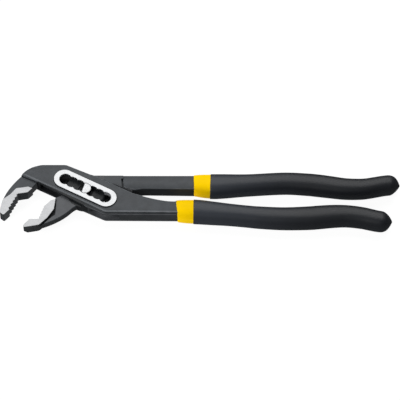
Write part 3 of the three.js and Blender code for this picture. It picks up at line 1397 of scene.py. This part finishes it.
    def slot(self) -> bpy.types.Mesh:
        """Makes the notched slot, a little wider at the rim's edge; the upper half of its wall is painted
        light in the last notch and painted shade in the others, the lower half painted deep shade.

        Returns:
            The solid to cut away.
        """
        joint = self.joint
        upper = [(joint.rim_top + rise, joint.slot_outline(grow)) for rise, grow in self.slot_mouth]
        lower = [(-height, points) for height, points in reversed(upper)]
        bands = [Steel.RIM, Steel.RIM, Steel.NOTCH, Steel.WALL, Steel.RIM, Steel.RIM]
        slot = self.shop.stack([*upper, (0.0, joint.slot_outline(0.0)), *lower], bands, Steel.WALL)
        # The upper wall is painted strong light in the last notch and painted shade in the others.
        last_notch = joint.half_travel - joint.pitch / 2
        for side in slot.polygons:
            along = side.center.x * math.cos(joint.tilt) - side.center.y * math.sin(joint.tilt)
            if side.material_index == Steel.NOTCH.index and along < last_notch:
                side.material_index = Steel.BAND.index
        return slot


@dataclass
class ThroughLever(Lever):
    """The lever that runs between the cheeks, with the lower jaw and the upper handle."""

    web_top: float = 12.0
    web_edge: float = 0.4
    web_sink: float = 0.3
    web_slope: float = 4.0
    hub_end: float = 1.05 * math.pi
    heel_start: float = -0.44 * math.pi
    shoulder_thickness: float = 10.2
    shoulder_top: float = 10.0
    shoulder_edge: float = 0.15
    shoulder_round: float = 0.8
    shoulder_fit: float = 0.06
    shoulder_front: float = 12.0
    shoulder_end: int = 7
    # Walls facing the lower handle more than stop_facing, short of stop_end along x, are painted strong
    # light.
    stop_end: float = 29.0
    stop_facing: float = -0.3
    handle_thickness: float = 8.5
    handle_chamfer: float = 0.5
    # The worn line with its painted highlight: its drop below the face, and its share of the chamfer.
    worn_highlight_drop: float = 0.1
    worn_highlight_share: float = 0.6
    hub_height: float = 0.12
    hub_margin: float = 0.4
    groove: tuple[tuple[float, float], ...] = ((22.3, 7.8), (23.6, 7.8), (24.1, 1.4), (22.8, 1.4))
    groove_depth: float = 0.8
    groove_slope: float = 0.1
    relief_rise: float = 2.6
    relief_run: float = 2.4
    valley_depth: float = 1.2
    valley_slope: float = 0.5
    valley: tuple[tuple[float, float], ...] = (
        (-17.9, -6.0),
        (-18.2, -15.6),
        (-18.5, -17.6),
        (-22.4, -21.0),
        (-24.9, -23.8),
        (-29.0, -27.2),
        (-32.0, -24.5),
        (-27.0, -19.0),
        (-23.5, -13.0),
        (-22.5, -6.0),
    )

    def underside(self, handles: Handles) -> Outline:
        """Draws the upper handle's underside, which meets the crotch in the last notch.

        Args:
            handles: Heights of the handles.

        Returns:
            Its points from the web to the handle.
        """
        steps, kept = 40, 17
        crotch = self.joint.crotch(Vector((handles.lower_front, handles.lower_top)), steps)
        back = self.joint.along(-self.joint.half_travel, self.joint.stop_fit)
        return [point + back for point in crotch[:kept]]

    def web_outline(self, under: Outline) -> Outline:
        """Draws the thin part: hub, neck of the lower jaw and start of the handle.

        Args:
            under: The handle's underside.

        Returns:
            The outline.
        """
        joint, end = self.joint, self.shoulder_end + 1
        origin, neck_end = Vector((0.0, 0.0)), Vector((-8.4, -13.4))
        low, sparse = self.shoulder_top - self.web_sink, 4
        hub_start = math.asin(self.web_top / joint.web_front)
        hub = arc(origin, joint.web_front, hub_start, self.hub_end, 40)
        neck = bend(Vector((-31.5, -26.6)), Vector((-16.0, -21.9)), neck_end, 18)
        fillet = bend(neck_end, Vector((-6.4, -11.4)), Vector((-3.4, -10.2)), 8)
        heel = arc(origin, joint.web_back, self.heel_start, 0.0, 16)
        return rounded([
            Vector((under[end].x, low)),
            Vector((self.shoulder_front + self.web_slope, low)),
            Vector((self.shoulder_front, self.web_top)),
            *hub,
            Vector((-18.4, -4.6)),
            Vector((-19.9, -7.5)),
            Vector((-20.5, -12.5)),
            Vector((-30.5, -23.5)),
            *neck,
            *fillet[1:],
            *heel,
            joint.along(joint.web_back, joint.cheek_top + joint.stop_fit),
            *under[: end + 1 : sparse],
        ])

    def build(self, handles: Handles) -> bpy.types.Object:
        """Makes the lever.

        Args:
            handles: The grips' lines.

        Returns:
            The piece.
        """
        joint, jaws, shop = self.joint, self.jaws, self.shop
        grip = handles.upper()
        under = self.underside(handles)
        handle = self.squared_off(self.handle(handles, under), grip)
        shoulder = self.shoulder(under)
        # Stop walls in the shade of the head get the much lighter copy, as painted light.
        for side in (*handle.polygons, *shoulder.polygons):
            stop = side.normal.y < self.stop_facing and side.center.x < self.stop_end
            if side.material_index == Steel.BAND.index and stop:
                side.material_index = Steel.NOTCH.index
        web = self.web(self.web_outline(under))
        shut = joint.along(joint.half_travel + joint.stop_fit, 0)
        face = self.jaw_slab(jaws.lower_face(shut), jaws.thickness)
        jaw = shop.fuse([face], [self.tip_relief(shut)])
        parts = [web, shoulder, handle, jaw, self.tang(grip), self.hub()]
        mesh = shop.fuse(parts, [self.bore(), *self.step_grooves()])
        piece = shop.piece("through_lever_forging", mesh, self.crease)
        return seat(piece, Body.THROUGH, "through_lever", Slot.FORGED)

    def handle(self, handles: Handles, under: Outline) -> bpy.types.Mesh:
        """Makes the upper handle, drawn too long.

        Args:
            handles: Heights of the handles.
            under: Its underside.

        Returns:
            The solid.
        """
        end = handles.upper_front + self.spare
        first = self.shoulder_end - 1
        outline = rounded([
            Vector((under[first].x, handles.upper_top)),
            *under[first:],
            corner(36.5, handles.upper_bottom + 0.2, 12.0),
            Vector((end, handles.upper_bottom - handles.upper_sink)),
            Vector((end, handles.upper_top)),
        ])
        top, bevel = self.handle_thickness / 2, self.handle_chamfer
        # The handle's edge has a worn line lightened further as a painted highlight, and its wall in
        # painted shade.
        profile = [
            Level(top, bevel),
            Level(top - self.worn_highlight_drop, self.worn_highlight_share * bevel, Steel.EDGE),
            Level(top - bevel, 0.0, Steel.FACE),
            Level(0.0, 0.0, Steel.BAND),
        ]
        return self.shop.slab(outline, profile, Steel.FACE)

    def shoulder(self, under: Outline) -> bpy.types.Mesh:
        """Makes the shoulder, which stops the lever against the head when it is swung open.

        Args:
            under: The handle's underside.

        Returns:
            The solid.
        """
        joint, end = self.joint, self.shoulder_end
        stop = (joint.cheek_top + self.shoulder_fit) / math.cos(joint.tilt)
        stop -= self.shoulder_front * math.tan(joint.tilt)
        outline = rounded([
            Vector((self.shoulder_front, stop)),
            under[0] + joint.along(0.0, self.shoulder_fit - joint.stop_fit),
            *under[1 : end + 1],
            Vector((under[end].x, self.shoulder_top)),
            corner(self.shoulder_front, self.shoulder_top, self.shoulder_round),
        ])
        # The shoulder's walls are painted shade.
        profile = bevelled(self.shoulder_thickness / 2, self.shoulder_edge, Steel.FACE, Steel.BAND)
        return self.shop.slab(outline, profile, Steel.FACE)

    def web(self, outline: Outline) -> bpy.types.Mesh:
        """Makes the thin part, its faces painted light and its walls painted shade, with a valley along the
        lower jaw's ground face painted deep shade.

        Args:
            outline: The web's outline.

        Returns:
            The solid.
        """
        top, over = self.joint.web / 2, 0.3
        web = self.shop.slab(outline, bevelled(top, self.web_edge, Steel.FACE, Steel.FLANK), Steel.NECK)
        valley = [Vector(place) for place in self.valley]
        levels = [(top + over, valley), (top - self.valley_depth, inset(valley, self.valley_slope))]
        return self.shop.fuse([web], self.shop.pair(levels, Steel.WALL))

    def tip_relief(self, shut: Vector) -> bpy.types.Mesh:
        """Makes the slope under the lower jaw's tip, painted shade.

        Args:
            shut: From the upper jaw's tip to the lower jaw's.

        Returns:
            The solid to cut away.
        """
        jaws, side, over = self.jaws, 12.0, 0.1
        tip = jaws.tip_outer.xy + shut - jaws.lower_back
        below = -jaws.thickness / 2
        levels = []
        for height, end in ((below - over, self.relief_run), (below + self.relief_rise, -2 * over)):
            levels.append((height, [tip + Vector(place) for place in oblong(-side, end, side)]))
        return self.shop.stack(levels, [Steel.FLANK], Steel.FLANK)

    def hub(self) -> bpy.types.Mesh:
        """Makes the boss that shows through the slot, its face and edge in painted shade.

        Returns:
            The solid.
        """
        joint, edge, count, nose, blend = self.joint, 0.1, 90, 0.75, 0.15
        top = joint.web / 2 + self.hub_height
        back, front = joint.web_back - self.hub_margin, joint.web_front - self.hub_margin
        outline = []
        for step in range(count):
            turn = 2 * math.pi * step / count
            share = max(0.0, min(1.0, (-math.cos(turn + joint.tilt) - nose) / blend))
            radius = back + (front - back) * share
            outline.append(Vector((radius * math.cos(turn), radius * math.sin(turn))))
        return self.shop.slab(outline, bevelled(top, edge, Steel.WALL, Steel.WALL), Steel.BAND)

    def bore(self) -> bpy.types.Mesh:
        """Makes the hole for the pin's collar, its wall painted deep shade.

        Returns:
            The solid to cut away.
        """
        reach = 8.0
        return self.shop.block(self.joint.collar_outline(self.joint.fit), reach, Steel.WALL)

    def step_grooves(self) -> list[bpy.types.Mesh]:
        """Makes the line that parts the shoulder from the handle, on both sides, painted shade.

        Returns:
            The solids to cut away.
        """
        outline, over = [Vector(place) for place in self.groove], 2
        top = self.handle_thickness / 2
        levels = [(top + over, outline), (top - self.groove_depth, inset(outline, self.groove_slope))]
        return self.shop.pair(levels, Steel.FLANK)


@dataclass
class PivotPin:
    """The flatted pin, with a round collar inside the web."""

    shop: Workshop
    joint: Joint
    crease: float = 30.0
    edge: float = 0.3
    # Drop below the pin's end, and inset there, as shares of the edge.
    edge_steps: tuple[tuple[float, float], ...] = ((0.0, 1.0), (0.1, 0.6), (0.4, 0.15), (1.0, 0.0))
    collar_edge: float = 0.2

    def outline(self, less: float, steps: int = 64) -> Outline:
        """Draws the pin's end.

        Args:
            less: What is taken off all round.
            steps: Chords in its arc.

        Returns:
            The outline.
        """
        radius = self.joint.pin_radius - less
        flat = math.pi - math.acos((self.joint.pin_flat - less) / radius)
        middle = self.joint.pin_turn - self.joint.tilt
        return arc(Vector((0.0, 0.0)), radius, middle - flat, middle + flat, steps)

    def build(self) -> bpy.types.Object:
        """Makes the pin.

        Returns:
            The piece.
        """
        joint, shop, edge = self.joint, self.shop, self.edge
        ends = [(joint.rim_top - drop * edge, self.outline(less * edge)) for drop, less in self.edge_steps]
        levels = [*ends, *((-z, outline) for z, outline in reversed(ends))]
        bright = [Steel.RIM] * (len(ends) - 1)
        # The shank's side below its bright edges, and the collar, are painted deep shade.
        shank = shop.stack(levels, [*bright, Steel.WALL, *bright], Steel.RIM)
        profile = bevelled(joint.web / 2, self.collar_edge, Steel.WALL, Steel.WALL)
        collar = shop.slab(joint.collar_outline(0.0), profile, Steel.WALL)
        mesh = shop.fuse([shank, collar])
        piece = shop.piece("pivot_pin_ground", mesh, self.crease)
        return seat(piece, Body.PIN, "pivot_pin", Slot.BRIGHT)


@dataclass(frozen=True)
class DipLine:
    """How far a dip's edge lies from a square one, and how it leans."""

    shift: float = 0.0
    lean: float = 0.0


@dataclass
class DippedGrip:
    """A handle's two coats: a first dip that shows as a collar, and a second dip over it."""

    side: str
    body: Body
    line: GripLine
    shop: Workshop
    first: bpy.types.Material
    second: bpy.types.Material
    front: DipLine
    seam: DipLine
    crease: float = 40.0
    fade: float = 15.0
    seam_fit: float = 0.04
    collar_length: float = 11.0
    collar_flare: float = 0.4
    collar_round: float = 0.5
    coat_fit: float = 0.3
    first_wall: float = 1.0
    second_wall: float = 1.2
    edge: float = 0.3
    tip_solid: float = 12.0

    def ring(self, distance: float, less: float) -> list[Vector]:
        """Draws one section, set over as the dips' edges are.

        Args:
            distance: From the grip's front.
            less: What is taken off all round.

        Returns:
            The section's points.
        """
        ring = self.line.ring(distance, less)
        middle = sum(point.y for point in ring) / len(ring)
        share = min(max(distance / self.collar_length, 0.0), 1.0)
        left = min(max(1 - (distance - self.collar_length) / self.fade, 0.0), 1.0)
        shift = (self.front.shift + (self.seam.shift - self.front.shift) * share) * left
        lean = (self.front.lean + (self.seam.lean - self.front.lean) * share) * left
        return [Vector((point.x + shift + lean * (middle - point.y), point.y, point.z)) for point in ring]

    def run(self, start: float, end: float, less: float, count: int = 40) -> list[list[Vector]]:
        """Draws evenly spaced sections.

        Args:
            start: Where the first one lies, from the grip's front.
            end: Where the last one lies.
            less: What is taken off all round.
            count: Number of steps between them.

        Returns:
            The sections in order.
        """
        return [self.ring(start + (end - start) * step / count, less) for step in range(count + 1)]

    def first_dip(self) -> bpy.types.Object:
        """Makes the first coat.

        Returns:
            The piece.
        """
        fit, wall, edge = self.coat_fit, self.second_wall + self.coat_fit, self.collar_round
        round_steps, flare_steps = 5, 14
        rings = []
        for step in range(round_steps):
            turn = math.pi / 2 * step / round_steps
            rise = edge * (1 - math.sin(turn))
            rings.append(self.ring(fit + edge * (1 - math.cos(turn)), fit + self.collar_flare + rise))
        for step in range(flare_steps + 1):
            share = step / flare_steps
            distance = fit + edge + (self.collar_length - fit - edge) * share
            rings.append(self.ring(distance, fit + self.collar_flare * (1 - share) ** 3))
        end = self.line.length - self.tip_solid - fit
        rings += self.run(self.collar_length + self.seam_fit, end, wall)
        outside = len(rings)
        rings += self.run(end - self.first_wall, fit, wall + self.first_wall)
        mesh = self._sleeve(rings, outside, self.first)
        piece = self.shop.piece(f"{self.side}_grip_first_dip", mesh, self.crease)
        return seat(piece, self.body, f"{self.side}_grip_undercoat", Slot.YELLOW)

    def second_dip(self) -> bpy.types.Object:
        """Makes the second coat.

        Returns:
            The piece.
        """
        line, edge = self.line, self.edge
        edge_steps, body_steps, tip_steps, tip_reach = 5, 120, 24, 0.99
        start = self.collar_length + self.seam_fit
        tip = line.length - line.tip_length
        rings = []
        for step in range(edge_steps + 1):
            turn = math.pi / 2 * step / edge_steps
            rings.append(self.ring(start + edge * (1 - math.cos(turn)), edge * (1 - math.sin(turn))))
        rings += self.run(start + edge, tip, 0.0, body_steps)[1:-1]
        for step in range(tip_steps + 1):
            reach = line.tip_length * tip_reach * math.sin(math.pi / 2 * step / tip_steps)
            rings.append(self.ring(tip + reach, 0.0))
        outside = len(rings)
        rings += self.run(line.length - self.tip_solid, start, self.second_wall)
        mesh = self._sleeve(rings, outside, self.second)
        piece = self.shop.piece(f"{self.side}_grip_second_dip", mesh, self.crease)
        return seat(piece, self.body, f"{self.side}_grip_overcoat", Slot.BLACK)

    def _sleeve(
        self, rings: list[list[Vector]], outside: int, finish: bpy.types.Material
    ) -> bpy.types.Mesh:
        """Skins a sleeve that is closed at its far end.

        Args:
            rings: The outside from front to end, then the inside from end to front.
            outside: How many of them are outside.
            finish: The coat's finish.

        Returns:
            The sleeve's mesh.
        """
        solid = bmesh.new()
        rows = [[solid.verts.new(point) for point in ring] for ring in rings]
        count = len(rows[0])
        for number, (row, following) in enumerate(zip(rows, rows[1:] + rows[:1])):
            if number == outside - 1:
                solid.faces.new(row)
                solid.faces.new(following)
                continue
            for index in range(count):
                after = (index + 1) % count
                solid.faces.new((row[index], row[after], following[after], following[index]))
        bmesh.ops.recalc_face_normals(solid, faces=solid.faces)
        mesh = bpy.data.meshes.new("sleeve")
        solid.to_mesh(mesh)
        solid.free()
        mesh.materials.append(finish)
        return mesh


@dataclass(frozen=True)
class Softbox:
    """A soft light: its place in the frame and its size, in metres, and its power in watts."""

    name: str
    place: tuple[float, float, float]
    size: tuple[float, float]
    power: float


@dataclass
class Studio:
    """Floor, light and camera."""

    pin: Vector
    elevation: float = math.radians(57)
    picture_width: float = 250.4
    distance: float = 1600.0
    centre: Vector = field(default_factory=lambda: Vector((71.86, -6.35, 1.98)))
    floor_half: float = 3.0
    room_light: float = 0.12
    softboxes: tuple[Softbox, ...] = (
        Softbox("top_softbox", (0.1, 0.95, 1.3), (1.6, 1.0), 21.0),
        Softbox("side_softbox", (-1.2, -0.75, 1.0), (1.2, 0.8), 20.0),
    )

    def floor(self) -> bpy.types.Object:
        """Lays the floor.

        Returns:
            The floor.
        """
        mesh = bpy.data.meshes.new("studio_floor")
        corners = [(x, y, 0) for x, y in oblong(-self.floor_half, self.floor_half, self.floor_half)]
        mesh.from_pydata(corners, [], [(0, 1, 2, 3)])
        mesh.materials.append(FloorFinish().material())
        floor = bpy.data.objects.new("studio_floor", mesh)
        bpy.context.scene.collection.objects.link(floor)
        floor.visible_glossy = False
        return floor

    def lamp(self, box: Softbox) -> bpy.types.Object:
        """Hangs a soft light that looks at the tool.

        Args:
            box: The light.

        Returns:
            Its object.
        """
        data = bpy.data.lights.new(box.name, "AREA")
        data.shape = "RECTANGLE"
        data.size, data.size_y = box.size
        data.energy = box.power
        lamp = bpy.data.objects.new(box.name, data)
        lamp.location = box.place
        lamp.rotation_euler = (-Vector(box.place)).to_track_quat("-Z", "Y").to_euler()
        bpy.context.scene.collection.objects.link(lamp)
        return lamp

    def world(self) -> None:
        """Fills the room with even light."""
        world = bpy.data.worlds.new("studio_room")
        world.use_nodes = True
        background = world.node_tree.nodes["Background"]
        background.inputs["Color"].default_value = (1.0, 1.0, 1.0, 1.0)
        background.inputs["Strength"].default_value = self.room_light
        bpy.context.scene.world = world

    def camera(self) -> bpy.types.Object:
        """Sets the camera at the photograph's angle.

        Returns:
            The camera.
        """
        data = bpy.data.cameras.new("studio_camera")
        data.sensor_width = 36.0
        data.lens = data.sensor_width * self.distance / self.picture_width
        camera = bpy.data.objects.new("studio_camera", data)
        away = Vector((0.0, -math.cos(self.elevation), math.sin(self.elevation)))
        camera.location = self.pin + (self.centre + away * self.distance) * MM
        camera.rotation_euler = (math.pi / 2 - self.elevation, 0.0, 0.0)
        bpy.context.scene.collection.objects.link(camera)
        bpy.context.scene.camera = camera
        return camera

    def build(self) -> None:
        """Sets up the studio."""
        self.camera()
        self.floor()
        self.world()
        for box in self.softboxes:
            self.lamp(box)
        bpy.context.scene.view_settings.view_transform = "Standard"


def pin_place() -> Vector:
    """Finds the pin's axis in the frame.

    Returns:
        Its place in metres.
    """
    pivot = next(joint for joint in frame["joints"] if joint["name"] == "handle_pivot")
    return Vector(pivot["pos_m"])


def main() -> None:
    """Builds the pliers piece by piece and sets the studio."""
    logging.basicConfig(level=logging.INFO, format="%(name)s %(message)s")
    shop = Workshop(pin_place())
    joint, jaws, handles = Joint(), Jaws(), Handles()
    first, second = Dip.FIRST.value.material(), Dip.SECOND.value.material()
    Studio(shop.pin).build()
    SlottedLever(shop, joint, jaws).build(handles)
    ThroughLever(shop, joint, jaws).build(handles)
    PivotPin(shop, joint).build()
    for side, body, line, front, seam in (
        ("lower", Body.SLOTTED, handles.lower(), DipLine(0.0, 0.15), DipLine(-0.25, 0.03)),
        ("upper", Body.THROUGH, handles.upper(), DipLine(0.41, 0.08), DipLine(0.05, 0.0)),
    ):
        grip = DippedGrip(side, body, line, shop, first, second, front, seam)
        grip.first_dip()
        grip.second_dip()


if __name__ == "__main__":
    main()
